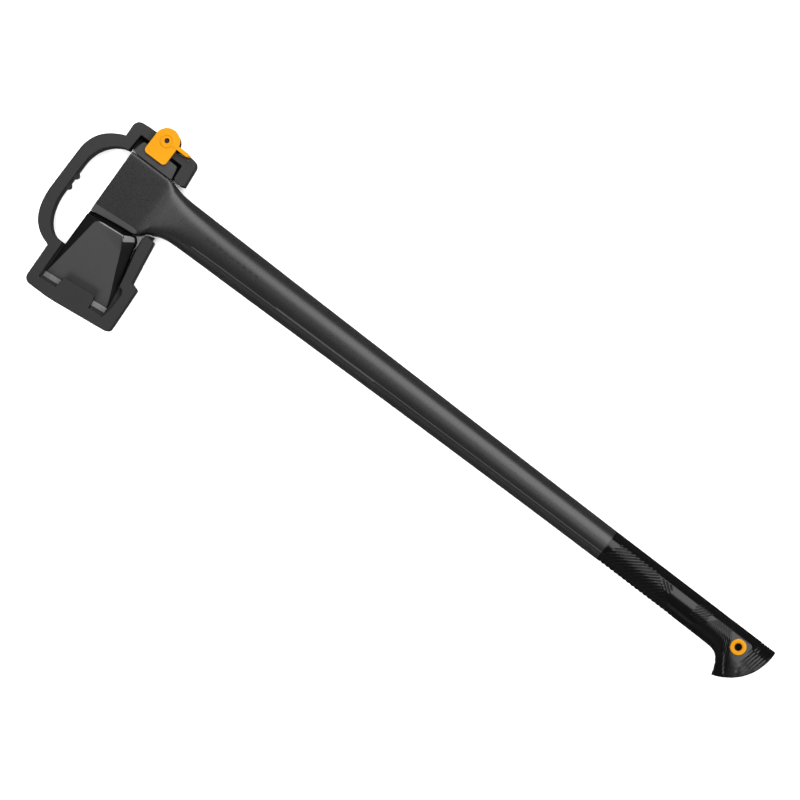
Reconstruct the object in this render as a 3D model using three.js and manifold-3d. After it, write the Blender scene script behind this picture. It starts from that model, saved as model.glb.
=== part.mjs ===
// A splitting maul with a moulded composite handle, stored in its blade sheath.
//
// Millimetres. While modelling, X runs along the handle from the top of the head to the butt,
// Y from the cutting edge towards the poll, and Z out of the blade's middle plane.
// The finished group is shifted so that its origin is the bottom centre of its bounding box,
// with the maul lying on its side.

import * as THREE from "three";
import { ConvexGeometry } from "three/addons/geometries/ConvexGeometry.js";
import { mergeVertices } from "three/addons/utils/BufferGeometryUtils.js";
import Module from "manifold-3d";

const wasm = await Module();
wasm.setup();

// ---------------------------------------------------------------- driving dimensions

const TOOL_LENGTH = 914;
const GAP = 0.3; // left between pieces that touch
const ARC_STEPS = 5; // curve segments per quarter of a small arc
const RING_POINTS = 40; // points round one handle section

// Steel head. The cutting edge climbs towards the heel, and the top of the head leans a little.
const EDGE_Y = -141.5; // the cutting edge's Y at X = 0
const EDGE_SLOPE = 0.095;
const TOP_LEAN = 0.027;
const RAMP_LENGTH = 86; // cutting edge to the shoulder behind the ramp
const POLL_TOP = 46.5;
const POLL_HALF_DEPTH = 22;
const TANG = { left: 8, right: 46, bottom: -62, top: 34, halfDepth: 12 };
const EYE = { bottom: -24, top: 14, halfDepth: 7, corner: 5 };
const BODY_HALF_DEPTH = 9;

// Composite handle: X, top, bottom, half depth, and how square the section is.
const WRAP_CHAMFER = { y: -41.4, lean: 0.08, fall: 0.35, endX: 64 };
const GRIP_START = 690;
const TUBE_END = 898;
const TUBE_WALL = 3.4;
const HANDLE_SECTIONS = [
  [2.1, 30.3, -50.2, 24, 12],
  [26, 30.3, -46.4, 24, 12],
  [52, 30.3, -43.3, 24, 12],
  [58, 29.6, -42.9, 23.8, 10],
  [62, 28.6, -41.4, 23.4, 8.5],
  [65.5, 27.6, -37.5, 23, 7.5],
  [67, 27.2, -34.8, 22.8, 7],
  [70, 26.7, -33.2, 22.4, 6.3],
  [74, 26.1, -31.6, 21.8, 5.5],
  [80, 25.5, -29.1, 21, 4.6],
  [86, 25.2, -27.1, 20.2, 3.9],
  [93, 25, -26, 19.4, 3.4],
  [105, 24.9, -25.6, 18.4, 2.9],
  [125, 24.65, -25.2, 17.5, 2.6],
  [160, 24.25, -24.8, 17, 2.4],
  [240, 23.3, -23.8, 16.5, 2.3],
  [320, 22.5, -22.75, 16.1, 2.3],
  [400, 21.7, -21.6, 15.7, 2.3],
  [520, 20.5, -20.4, 15.2, 2.3],
  [610, 19.7, -19.7, 14.8, 2.3],
  [GRIP_START - GAP, 19.1, -19.5, 14.4, 2.3],
];
const TUBE_SECTIONS = [
  [GRIP_START - GAP, 15.6, -16.4, 11.7, 2.3],
  [780, 15.2, -16.6, 11.4, 2.3],
  [TUBE_END, 14.8, -16.6, 11.2, 2.4],
];

// Grip. Each row is one line across it, from a point on the bottom outline to one on the top
// outline, bulging towards the butt: top X, bottom X, bottom Y, bulge, half depth, squareness.
const GRIP_TOP = [19.1, 18.4]; // top outline's Y where the grip starts and where it ends
const GRIP_SECTIONS = [
  [GRIP_START, GRIP_START, -19.5, 0, 14.4, 2.3],
  [780, 780, -19.75, 0, 14.1, 2.3],
  [828, 826, -20.4, 0, 14, 2.35],
  [846, 841, -20.7, 0.3, 14, 2.4],
  [857, 850, -21.1, 0.8, 14, 2.5],
  [867, 856, -22.5, 1.8, 14, 2.6],
  [876, 861.2, -26, 3.1, 14, 2.8],
  [885, 865.2, -31.2, 4.8, 14, 3],
  [894, 868, -37.2, 7.1, 14, 3.2],
  [903, 869.8, -42.4, 9.7, 14, 3.4],
  [911.5, 870.7, -44.8, 12, 14, 3.6],
  [913.8, 870.9, -45.2, 12.7, 13.4, 3.6],
];

// Hang-hole eyelet: a flanged ferrule through the butt and a ring pressed on behind it.
const EYELET = { x: 875.6, y: -2, hole: 4.3, barrel: 6.2, flange: 9.2, thick: 2.2, face: 15.2 };
const BUTT_PLUG = [852, TUBE_END - GAP];

// Blade sheath
const SHEATH_HALF_DEPTH = 18;
const BLADE_CLEARANCE = 0.6;
const PIVOT = { x: 25.2, y: 62.8 };
const LUG = { radius: 13.4, halfDepth: 22 };
const CORING = { wall: 2.8, floor: 14, ribEvery: 27, ribThick: 2, lugClearance: 17 };
const LOOP_INNER_X = -34.8;
const POLL_LEDGE = { front: -7, clearance: 0.4 };
const HEEL_LIP_FRONT = -14.6;
const FINGER_BUMPS = { middles: [-29.7, -44.3], halfLength: 5.8, height: 4.2, halfDepth: 9 };

// Latch over the poll
const LATCH_FRONT = { halfWidth: 14.5, reach: 24.6, corner: 4.5 };
const LATCH_BACK = { halfWidth: 12.6, reach: 22, corner: 4.5 };
const LATCH_PLATE = { inner: 22.5, thick: 4, proud: 1.2, boss: 8 };
const LEVER = { start: 15.5, end: 29, under: -1.5, over: 2.8 };
const PIN = { radius: 2.9, hole: 2.95, halfLength: 23.8 };

// ---------------------------------------------------------------- materials

const COMPOSITE = new THREE.MeshStandardMaterial({ color: 0x2b2b2c, roughness: 0.5 });
const COATED_STEEL = new THREE.MeshStandardMaterial({
  color: 0x4b4b4d,
  roughness: 0.42,
  metalness: 0.6,
});
const PLATED_STEEL = new THREE.MeshStandardMaterial({
  color: 0x55504c,
  roughness: 0.35,
  metalness: 0.9,
});
const SOFT_GRIP = new THREE.MeshStandardMaterial({ color: 0x161617, roughness: 0.45 });
const ORANGE = new THREE.MeshStandardMaterial({ color: 0xf9a51a, roughness: 0.35 });
const SHEATH_BLACK = new THREE.MeshStandardMaterial({ color: 0x2e2e2f, roughness: 0.6 });
const PLUG_GREY = new THREE.MeshStandardMaterial({ color: 0x39393a, roughness: 0.7 });

// ---------------------------------------------------------------- solids

function solidOf(geometry) {
  const bare = geometry.index ? geometry.toNonIndexed() : geometry.clone();
  bare.deleteAttribute("normal");
  bare.deleteAttribute("uv");
  const merged = mergeVertices(bare, 1e-4);
  return new wasm.Manifold(
    new wasm.Mesh({
      numProp: 3,
      vertProperties: new Float32Array(merged.attributes.position.array),
      triVerts: new Uint32Array(merged.index.array),
    }),
  );
}

function geometryOf(solid) {
  const mesh = solid.getMesh();
  const positions = new Float32Array(mesh.numVert * 3);
  for (let i = 0; i < mesh.numVert; i++)
    positions.set(mesh.vertProperties.subarray(i * mesh.numProp, i * mesh.numProp + 3), i * 3);
  const geometry = new THREE.BufferGeometry();
  geometry.setAttribute("position", new THREE.BufferAttribute(positions, 3));
  geometry.setIndex(new THREE.BufferAttribute(new Uint32Array(mesh.triVerts), 1));
  geometry.computeVertexNormals();
  return geometry;
}

function named(name, solid, material) {
  const mesh = new THREE.Mesh(geometryOf(solid), material);
  mesh.name = name;
  return mesh;
}

// A shape from corners [x, y, radius], each corner with a radius rounded by an arc.
function outline(corners) {
  const shape = new THREE.Shape();
  const count = corners.length;
  corners.forEach(([x, y, radius = 0], i) => {
    const corner = new THREE.Vector2(x, y);
    const [beforeX, beforeY] = corners[(i + count - 1) % count];
    const [afterX, afterY] = corners[(i + 1) % count];
    const back = new THREE.Vector2(beforeX, beforeY).sub(corner).normalize();
    const on = new THREE.Vector2(afterX, afterY).sub(corner).normalize();
    const half = Math.acos(THREE.MathUtils.clamp(back.dot(on), -1, 1)) / 2;
    if (radius < 0.05) {
      if (i === 0) shape.moveTo(x, y);
      else shape.lineTo(x, y);
      return;
    }
    const reach = radius / Math.tan(half);
    const start = corner.clone().addScaledVector(back, reach);
    const end = corner.clone().addScaledVector(on, reach);
    const inwards = back.clone().add(on).normalize();
    const centre = corner.clone().addScaledVector(inwards, radius / Math.sin(half));
    if (i === 0) shape.moveTo(start.x, start.y);
    shape.absarc(
      centre.x,
      centre.y,
      radius,
      start.clone().sub(centre).angle(),
      end.clone().sub(centre).angle(),
      back.cross(on) > 0,
    );
  });
  return shape;
}

// The corners of an outline moved inwards, its arcs following. The corners run anticlockwise.
function inset(corners, distance) {
  const count = corners.length;
  return corners.map(([x, y, radius = 0], i) => {
    const [beforeX, beforeY] = corners[(i + count - 1) % count];
    const [afterX, afterY] = corners[(i + 1) % count];
    const along = new THREE.Vector2(x - beforeX, y - beforeY).normalize();
    const on = new THREE.Vector2(afterX - x, afterY - y).normalize();
    const normal = new THREE.Vector2(-along.y - on.y, along.x + on.x).normalize();
    const reach = distance / (normal.x * -along.y + normal.y * along.x);
    const convex = along.cross(on) > 0;
    const kept = radius ? Math.max(radius + (convex ? -distance : distance), 0.6) : 0;
    return [x + normal.x * reach, y + normal.y * reach, kept];
  });
}

// A shape pulled through Z from low to high.
function slab(shape, low, high, steps = ARC_STEPS) {
  const geometry = new THREE.ExtrudeGeometry(shape, {
    depth: high - low,
    bevelEnabled: false,
    curveSegments: steps,
  });
  return solidOf(geometry.translate(0, 0, low));
}

// A convex outline pulled through Z with its long edges chamfered.
function chamferedSlab(corners, low, high, chamfer, steps = 4) {
  const shrunk = inset(corners, chamfer);
  const levels = [
    [low, shrunk],
    [low + chamfer, corners],
    [high - chamfer, corners],
    [high, shrunk],
  ];
  return loft(
    levels.map(([z, ring]) =>
      outline(ring)
        .getPoints(steps)
        .map((point) => new THREE.Vector3(point.x, point.y, z)),
    ),
  );
}

function block(left, right, bottom, top, low, high) {
  const geometry = new THREE.BoxGeometry(right - left, top - bottom, high - low);
  return solidOf(geometry.translate((left + right) / 2, (bottom + top) / 2, (low + high) / 2));
}

function rod(x, y, radius, low, high, sides = 48) {
  const geometry = new THREE.CylinderGeometry(radius, radius, high - low, sides);
  return solidOf(geometry.rotateX(Math.PI / 2).translate(x, y, (low + high) / 2));
}

// A closed skin through rings of equally many points, capped at both ends.
function loft(rings) {
  const size = rings[0].length;
  const points = rings.flat();
  const triangles = [];
  for (let r = 0; r + 1 < rings.length; r++)
    for (let k = 0; k < size; k++) {
      const a = r * size + k;
      const b = r * size + ((k + 1) % size);
      triangles.push(a, b, a + size, b, b + size, a + size);
    }
  for (const [first, backwards] of [[0, true], [(rings.length - 1) * size, false]]) {
    const centre = new THREE.Vector3();
    for (let k = 0; k < size; k++) centre.addScaledVector(points[first + k], 1 / size);
    points.push(centre);
    for (let k = 0; k < size; k++) {
      const edge = [first + k, first + ((k + 1) % size)];
      triangles.push(points.length - 1, ...(backwards ? edge.reverse() : edge));
    }
  }
  const geometry = new THREE.BufferGeometry().setFromPoints(points);
  geometry.setIndex(triangles);
  return solidOf(geometry);
}

// Superellipse: how far across and how deep each point of a section lies, from -1 to 1.
function sectionPoint(k, squareness) {
  const angle = (2 * Math.PI * k) / RING_POINTS;
  const shaped = (value) => Math.sign(value) * Math.abs(value) ** (2 / squareness);
  return { across: shaped(Math.cos(angle)), deep: shaped(Math.sin(angle)) };
}

// ---------------------------------------------------------------- steel head

// The wedge at a distance from the cutting edge: the raised ramp between its side bevels.
// distance, side left, ramp left, ramp right, side right, ramp half depth, side half depth
const WEDGE_SECTIONS = [
  [0, 3, 3.3, 82.9, 83.3, 0.3, 0.2],
  [6, 2.9, 3.7, 82.3, 83.1, 2.6, 2.2],
  [22, 2.6, 6.3, 76.8, 80.9, 7, 3.6],
  [44, 2.3, 9.8, 67.7, 76, 13.8, 6],
  [66, 2.1, 13.1, 59.1, 69.4, 21.4, 8.6],
  [80, 2, 15.2, 53.6, 65.2, 26.7, 10.4],
  [83, 2, 16.6, 52.4, 64.4, 27.8, 10.7],
  [84.7, 2, 18.5, 51.6, 63.9, 28.5, 10.9],
  [85.6, 2, 21.4, 51, 63.6, 28.85, 11],
  [RAMP_LENGTH, 2, 25, 50.3, 63.4, 29, 11],
];

function wedge(clearance = 0) {
  return loft(
    WEDGE_SECTIONS.map((row, i) => {
      const [distance, sideLeft, rampLeft, rampRight, sideRight, rampHalf, sideHalf] = row;
      const from = i === 0 ? distance - clearance : distance;
      const half = [
        [sideLeft - clearance, sideHalf + clearance],
        [rampLeft, rampHalf + clearance],
        [rampRight, rampHalf + clearance],
        [sideRight + clearance, sideHalf + clearance],
      ];
      const ring = [...half, ...half.toReversed().map(([x, z]) => [x, -z])];
      return ring.map(([x, z]) => new THREE.Vector3(x, EDGE_Y + from + EDGE_SLOPE * x, z));
    }),
  );
}

// The corner of the shoulder on the heel side, which slopes down towards the shaft.
function shoulderWing() {
  const corners = [
    [49.5, -51.3, 28.8],
    [54.3, -57, 26.9],
    [57.5, -46.8, 24.5],
    [61.2, -45.7, 21.5],
    [64.4, -49.4, 18.5],
    [58.6, -70.2, 21],
    [68, -66, 9],
    [63, -48, 9],
  ];
  const points = corners.flatMap(([x, y, z]) => [
    new THREE.Vector3(x, y, z),
    new THREE.Vector3(x, y, -z),
  ]);
  return solidOf(new ConvexGeometry(points));
}

function pollCorners() {
  return [
    [1.5, 30.9, 0.8],
    [54.6, 30.9, 0.8],
    [52.6, 41.5, 6],
    [51, POLL_TOP, 2],
    [5.3, POLL_TOP, 2],
    [3.6, 41.5, 6],
  ];
}

function poll() {
  const bevel = 1.6;
  return chamferedSlab(pollCorners(), -POLL_HALF_DEPTH, POLL_HALF_DEPTH, bevel);
}

// The tang inside the composite, with its eye through it along X.
function tang(clearance = 0) {
  const body = block(
    TANG.left - clearance,
    TANG.right + clearance,
    TANG.bottom,
    TANG.top,
    -TANG.halfDepth - clearance,
    TANG.halfDepth + clearance,
  );
  const eyeShape = outline(
    [
      [EYE.bottom + clearance, -EYE.halfDepth + clearance],
      [EYE.top - clearance, -EYE.halfDepth + clearance],
      [EYE.top - clearance, EYE.halfDepth - clearance],
      [EYE.bottom + clearance, EYE.halfDepth - clearance],
    ].map((corner) => [...corner, EYE.corner]),
  );
  const length = TANG.right - TANG.left + 10;
  const eye = new THREE.ExtrudeGeometry(eyeShape, {
    depth: length,
    bevelEnabled: false,
    curveSegments: 3,
  });
  // The shape's own X and Y become the part's Y and Z, and its depth runs along X.
  const turn = new THREE.Matrix4().set(0, 0, 1, 0, 1, 0, 0, 0, 0, 1, 0, 0, 0, 0, 0, 1);
  eye.applyMatrix4(turn).translate(TANG.left - 5, 0, 0);
  return body.subtract(solidOf(eye));
}

// The plain body of the head between the shoulder and the composite.
function headBody() {
  const shape = outline([
    [2.1, -71, 0],
    [64, -62, 0],
    [61.2, -43.4, 1],
    [52, -43.65, 0],
    [26, -46.75, 0],
    [2.5, -50.55, 0.3],
  ]);
  return slab(shape, -BODY_HALF_DEPTH, BODY_HALF_DEPTH);
}

function axeHead() {
  return wedge().add(shoulderWing()).add(headBody()).add(tang()).add(poll());
}

// ---------------------------------------------------------------- handle

function handleRing([x, top, bottom, halfDepth, squareness]) {
  const middle = (top + bottom) / 2;
  const half = (top - bottom) / 2;
  const chamferFrom = WRAP_CHAMFER.y + WRAP_CHAMFER.lean * x;
  const leaning = Math.max(0, 1 - x / 50);
  return Array.from({ length: RING_POINTS }, (_, k) => {
    const { across, deep } = sectionPoint(k, squareness);
    const y = middle + half * across;
    let z = halfDepth * deep;
    if (x <= WRAP_CHAMFER.endX && y < chamferFrom) {
      const limit = halfDepth - (chamferFrom - y) * WRAP_CHAMFER.fall;
      z = THREE.MathUtils.clamp(z, -limit, limit);
    }
    return new THREE.Vector3(x - TOP_LEAN * y * leaning, y, z);
  });
}

function thinner([x, top, bottom, halfDepth, squareness], wall) {
  return [x, top - wall, bottom + wall, halfDepth - wall, squareness];
}

function eyeletHole(radius, low = -30, high = 30) {
  return rod(EYELET.x, EYELET.y, radius, low, high);
}

function handle() {
  const outer = loft([...HANDLE_SECTIONS, ...TUBE_SECTIONS].map(handleRing));
  const open = [TUBE_END + 1, ...TUBE_SECTIONS.at(-1).slice(1)];
  const hollow = loft(
    [...HANDLE_SECTIONS.slice(9, -1), ...TUBE_SECTIONS, open].map((row) =>
      handleRing(thinner(row, row[0] < GRIP_START - 1 ? TUBE_WALL + 1 : TUBE_WALL)),
    ),
  );
  return outer
    .subtract(tang(GAP))
    .subtract(hollow)
    .subtract(eyeletHole(EYELET.barrel + GAP));
}

// The plug that closes the tube's open end, which the eyelet's barrel locks in place.
function buttPlug() {
  const rings = BUTT_PLUG.map((x) =>
    handleRing(thinner([x, ...TUBE_SECTIONS.at(-1).slice(1)], TUBE_WALL + GAP)),
  );
  return loft(rings).subtract(eyeletHole(EYELET.barrel + GAP));
}

function gripRing([topX, bottomX, bottomY, bulge, halfDepth, squareness]) {
  const share = (topX - GRIP_START) / (TOOL_LENGTH - GRIP_START);
  const top = new THREE.Vector2(topX, THREE.MathUtils.lerp(...GRIP_TOP, share));
  const bottom = new THREE.Vector2(bottomX, bottomY);
  const chord = top.clone().sub(bottom);
  const outwards = new THREE.Vector2(chord.y, -chord.x).normalize();
  return Array.from({ length: RING_POINTS }, (_, k) => {
    const { across, deep } = sectionPoint(k, squareness);
    const t = (across + 1) / 2;
    const point = bottom.clone().addScaledVector(chord, t);
    point.addScaledVector(outwards, 4 * bulge * t * (1 - t));
    return new THREE.Vector3(point.x, point.y, halfDepth * deep);
  });
}

function grip() {
  const loose = (row) => handleRing(thinner(row, -GAP));
  const before = [GRIP_START - 2, ...TUBE_SECTIONS[0].slice(1)];
  const after = [TUBE_END + GAP, ...TUBE_SECTIONS.at(-1).slice(1)];
  const seat = EYELET.face - EYELET.thick - GAP;
  return loft(GRIP_SECTIONS.map(gripRing))
    .subtract(loft([before, TUBE_SECTIONS[1], after].map(loose)))
    .subtract(eyeletHole(EYELET.barrel + GAP))
    .subtract(eyeletHole(EYELET.flange + GAP, seat, 30))
    .subtract(eyeletHole(EYELET.flange + GAP, -30, -seat));
}

// The front flange and barrel of the eyelet.
function eyeletFerrule() {
  const { hole, barrel, flange, thick, face } = EYELET;
  const profile = [
    [hole, -face],
    [barrel, -face],
    [barrel, face - thick],
    [flange, face - thick],
    [flange, face - 0.8],
    [flange - 0.8, face],
    [hole + 0.6, face],
    [hole, face - 0.6],
    [hole, -face],
  ];
  return ringAtEyelet(profile);
}

function eyeletBackRing() {
  const { barrel, flange, thick, face } = EYELET;
  const profile = [
    [barrel + GAP, -face],
    [flange - 0.8, -face],
    [flange, -face + 0.8],
    [flange, -face + thick],
    [barrel + GAP, -face + thick],
    [barrel + GAP, -face],
  ];
  return ringAtEyelet(profile);
}

function ringAtEyelet(profile) {
  const points = profile.map(([radius, height]) => new THREE.Vector2(radius, height));
  const geometry = new THREE.LatheGeometry(points, 48);
  return solidOf(geometry.rotateX(Math.PI / 2).translate(EYELET.x, EYELET.y, 0));
}

// ---------------------------------------------------------------- blade sheath

function bezierCorners(from, control1, control2, to, steps) {
  const curve = new THREE.CubicBezierCurve(
    new THREE.Vector2(...from),
    new THREE.Vector2(...control1),
    new THREE.Vector2(...control2),
    new THREE.Vector2(...to),
  );
  return curve.getPoints(steps).map((point) => [point.x, point.y]);
}

// The frame seen from the front, anticlockwise from the heel arm's free end. It is one open C
// round the head, with the carrying loop bulging out between its two arms.
function sheathCorners() {
  const inner = LOOP_INNER_X;
  return [
    [70.6, -35.2, 3],
    [68.5, -41, 0],
    [71.8, -60, 0],
    [77.5, -85, 0],
    [80.2, -99.2, 0.6],
    [85, -100.3, 1.5],
    [87.9, -105.5, 3],
    [87.6, -124, 0],
    [85.4, -137.8, 1],
    [1.4, -144.6, 1],
    [0, -98.4, 0.5],
    ...bezierCorners([-8, -98.4], [-22, -97.5], [inner, -78], [inner, -50], 8),
    ...bezierCorners([inner, -12], [inner, 9.5], [-19.5, 26.5], [-3.6, 28.7], 8),
    [-2.6, 50.6, 1.5],
    [54.6, 50.6, 1.5],
    [56, 32, 4.5],
    [66, 31.2, 2],
    [70.5, 33.4, 1],
    [67.6, 63.9, 8.2],
    [56.2, 64.1, 0.5],
    [56.2, 59.3, 0.5],
    [40, 59.3, 0],
    [40, 64.1, 0],
    [-0.5, 63.5, 20],
    [-17.2, 61.8, 9],
    [-15.7, 40, 0],
    ...bezierCorners([-17.5, 39.4], [-36.5, 31], [-48.4, 18.5], [-48.4, -5], 10),
    ...bezierCorners([-48.4, -50], [-49, -86], [-36.5, -103.5], [-14.5, -109.2], 10),
    [-11.8, -110.3, 0],
    [-10.1, -157.7, 8.5],
    [25, -157.4, 120],
    [101.3, -148.2, 5.5],
    [98.1, -91, 2],
    [89.3, -88.2, 2],
    [81.1, -37.1, 1.5],
  ];
}

// The ribbed hollow left in the frame's back, as injection-moulded frames have.
function coring() {
  const { wall, floor, ribEvery, ribThick, lugClearance } = CORING;
  const shape = outline(inset(sheathCorners(), wall));
  let hollow = slab(shape, -SHEATH_HALF_DEPTH - 1, floor, 3);
  const length = 340;
  for (let x = -220; x <= 280; x += ribEvery) {
    const rib = new THREE.BoxGeometry(ribThick, length, 4 * SHEATH_HALF_DEPTH);
    rib.rotateZ(-Math.PI / 4).translate(x, -50, 0);
    hollow = hollow.subtract(solidOf(rib));
  }
  return hollow.subtract(rod(PIVOT.x, PIVOT.y, lugClearance, -30, 30));
}

// The two finger bumps on the inside of the carrying loop.
function fingerBumps() {
  const { middles, halfLength, height, halfDepth } = FINGER_BUMPS;
  const steps = 12;
  const bumps = middles.map((middle) => {
    const shape = new THREE.Shape();
    shape.moveTo(LOOP_INNER_X - 1, middle - halfLength);
    for (let i = 0; i <= steps; i++) {
      const along = (2 * i) / steps - 1;
      const rise = height * Math.cos((along * Math.PI) / 2) ** 1.5;
      shape.lineTo(LOOP_INNER_X + rise, middle + halfLength * along);
    }
    shape.lineTo(LOOP_INNER_X - 1, middle + halfLength);
    return slab(shape, -halfDepth, halfDepth);
  });
  return bumps[0].add(bumps[1]);
}

// The lip behind the head's heel that closes the gap beside it.
function heelLip() {
  const shape = outline([
    [77, -36, 0],
    [77, -31.9, 0],
    [74.2, -32.6, 0],
    [70.2, -34.3, 0],
    [67.7, -36.2, 0],
    [66.6, -38.6, 0],
    [65.4, -42, 0],
    [66.6, -47.5, 0],
    [66.6, -58, 0],
    [68.7, -68, 0],
    [76.7, -99.5, 0],
    [81, -99.5, 0],
    [72.5, -60, 0],
    [70, -41, 0],
  ]);
  return slab(shape, -SHEATH_HALF_DEPTH, HEEL_LIP_FRONT);
}

// The tongue over the middle of the cutting edge in front, and those over its ends behind.
function edgeTongues() {
  const front = outline([
    [23.6, -145, 0],
    [67.2, -141, 0],
    [65.2, -123.9, 3],
    [24.8, -128.4, 3.5],
  ]);
  const toeBehind = outline([
    [0.4, -146, 0],
    [22.6, -146, 0],
    [22.6, -130.5, 3],
    [-0.4, -132.5, 0],
  ]);
  const heelBehind = outline([
    [68.8, -141, 0],
    [86, -140, 0],
    [88.8, -124, 0],
    [88.8, -104, 0],
    [80.5, -98.2, 0],
    [75.5, -112, 6],
    [68.8, -124.5, 3],
  ]);
  const heelLedge = outline([
    [86, -138.5, 0],
    [88.8, -124, 0],
    [88.8, -104, 0],
    [81.5, -98.4, 0],
    [79.5, -99, 0],
    [84, -128, 0],
  ]);
  return slab(front, 0.8, SHEATH_HALF_DEPTH)
    .add(slab(toeBehind, -SHEATH_HALF_DEPTH, -0.8))
    .add(slab(heelBehind, -SHEATH_HALF_DEPTH, -0.8))
    .add(slab(heelLedge, -SHEATH_HALF_DEPTH, 4));
}

// The ledge behind the poll that closes the gap round its sides.
function pollLedge() {
  const { front, clearance } = POLL_LEDGE;
  const round = slab(outline(inset(pollCorners(), -clearance)), -30, 30);
  return block(-4.5, 56, 32.5, 51.5, -SHEATH_HALF_DEPTH, front).subtract(round);
}

// The latch's lug, its underside cut level with the arm so that the poll has room below it.
function latchLug() {
  return rod(PIVOT.x, PIVOT.y, LUG.radius, -LUG.halfDepth, LUG.halfDepth, 64).subtract(
    block(0, 50, 40, 50.6, -30, 30),
  );
}

function sheathFrame() {
  return slab(outline(sheathCorners()), -SHEATH_HALF_DEPTH, SHEATH_HALF_DEPTH)
    .subtract(coring())
    .add(edgeTongues())
    .add(heelLip())
    .add(pollLedge())
    .add(fingerBumps())
    .add(latchLug())
    .subtract(rod(PIVOT.x, PIVOT.y, PIN.hole, -30, 30))
    .subtract(wedge(BLADE_CLEARANCE));
}

function cheek({ halfWidth, reach, corner }) {
  return outline([
    [PIVOT.x - halfWidth, PIVOT.y - reach, corner],
    [PIVOT.x + halfWidth, PIVOT.y - reach, corner],
    [PIVOT.x + halfWidth, PIVOT.y, 0],
    [PIVOT.x + halfWidth, PIVOT.y + halfWidth, halfWidth - 0.01],
    [PIVOT.x - halfWidth, PIVOT.y + halfWidth, halfWidth - 0.01],
    [PIVOT.x - halfWidth, PIVOT.y, 0],
  ]);
}

// The rib on a cheek's face that runs from the boss round the pin out along the lever.
function latchRib() {
  return outline([
    [PIVOT.x + 2, PIVOT.y + 7.6, 0],
    [PIVOT.x + 2, PIVOT.y - 4, 0],
    [PIVOT.x + 7.6, PIVOT.y + LEVER.under, 2],
    [PIVOT.x + LEVER.end, PIVOT.y + LEVER.under, 1.2],
    [PIVOT.x + LEVER.end, PIVOT.y + LEVER.over, 1.2],
    [PIVOT.x + 14.5, PIVOT.y + LEVER.over, 4],
    [PIVOT.x + 9, PIVOT.y + 5.6, 3],
  ]);
}

function latch() {
  const { inner, thick, proud, boss } = LATCH_PLATE;
  const outer = inner + thick;
  const face = outer + proud;
  const leverShape = outline([
    [PIVOT.x + LEVER.start, PIVOT.y + LEVER.under, 0.8],
    [PIVOT.x + LEVER.end, PIVOT.y + LEVER.under, 1.2],
    [PIVOT.x + LEVER.end, PIVOT.y + LEVER.over, 1.2],
    [PIVOT.x + LEVER.start, PIVOT.y + LEVER.over, 0.8],
  ]);
  let solid = slab(leverShape, -outer, outer);
  for (const [shape, low, high, proudLow, proudHigh] of [
    [LATCH_FRONT, inner, outer, inner, face],
    [LATCH_BACK, -outer, -inner, -face, -inner],
  ])
    solid = solid
      .add(slab(cheek(shape), low, high, 12))
      .add(slab(latchRib(), proudLow, proudHigh))
      .add(rod(PIVOT.x, PIVOT.y, boss, proudLow, proudHigh));
  return solid.subtract(rod(PIVOT.x, PIVOT.y, PIN.hole, -40, 40));
}

function latchPin() {
  return rod(PIVOT.x, PIVOT.y, PIN.radius, -PIN.halfLength, PIN.halfLength);
}

// ---------------------------------------------------------------- assembly

const maul = new THREE.Group();
maul.add(
  named("axe_head", axeHead(), COATED_STEEL),
  named("handle", handle(), COMPOSITE),
  named("butt_plug", buttPlug(), PLUG_GREY),
  named("grip", grip(), SOFT_GRIP),
  named("eyelet_ferrule", eyeletFerrule(), ORANGE),
  named("eyelet_back_ring", eyeletBackRing(), ORANGE),
  named("sheath_frame", sheathFrame(), SHEATH_BLACK),
  named("latch", latch(), ORANGE),
  named("latch_pin", latchPin(), PLATED_STEEL),
);
const box = new THREE.Box3().setFromObject(maul);
const middle = box.getCenter(new THREE.Vector3());
maul.position.set(-middle.x, -middle.y, -box.min.z);

export default maul;
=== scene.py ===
"""A splitting maul in its blade sheath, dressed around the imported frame.

Shapes are built in millimetres in the maul's own axes: X along the handle from the top of the
head to the butt, Y from the cutting edge towards the poll, and Z out of the blade's middle plane.
They are moved into the row frame, in metres, when each piece is made.
"""

import math

import bmesh
import bpy
import numpy as np
from mathutils import Matrix, Vector


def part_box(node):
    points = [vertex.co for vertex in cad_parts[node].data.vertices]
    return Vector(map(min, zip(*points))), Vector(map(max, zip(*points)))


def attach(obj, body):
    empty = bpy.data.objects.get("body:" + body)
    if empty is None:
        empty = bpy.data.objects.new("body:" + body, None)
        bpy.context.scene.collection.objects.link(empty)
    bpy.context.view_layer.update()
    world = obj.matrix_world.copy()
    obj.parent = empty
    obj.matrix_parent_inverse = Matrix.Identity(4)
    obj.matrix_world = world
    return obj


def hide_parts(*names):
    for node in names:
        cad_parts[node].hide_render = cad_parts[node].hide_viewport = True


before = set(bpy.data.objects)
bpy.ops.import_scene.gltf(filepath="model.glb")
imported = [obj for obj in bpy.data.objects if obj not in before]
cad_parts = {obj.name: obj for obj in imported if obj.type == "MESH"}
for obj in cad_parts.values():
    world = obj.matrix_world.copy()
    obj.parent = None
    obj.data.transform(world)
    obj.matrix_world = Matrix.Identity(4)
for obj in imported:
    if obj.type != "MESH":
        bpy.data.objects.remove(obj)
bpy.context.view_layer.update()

MM = 0.001
PIVOT = Vector((25.2, 62.8, 0))
MAUL = "maul_in_sheath"
LATCH = "latch_body"
pin_low, pin_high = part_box("latch_pin")
ORIGIN = (pin_low + pin_high) / 2 - PIVOT * MM
TO_ROW = Matrix.Translation(ORIGIN) @ Matrix.Scale(MM, 4)

# ---------------------------------------------------------------- camera, light and floor

CAMERA_ROLL = math.radians(37.19)
CAMERA_TARGET = Vector((407.0, -10.5, 0))
CAMERA_DISTANCE = 4.1
VIEW_WIDTH = 0.898
WORLD_STRENGTH = 0.1
OFF_AXIS = 1e-4
FLOOR_HALF = 6.0
FLOOR_GAP = 0.0004
LOW_SHOULDER = Vector((33, -51.3, -29))


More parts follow.
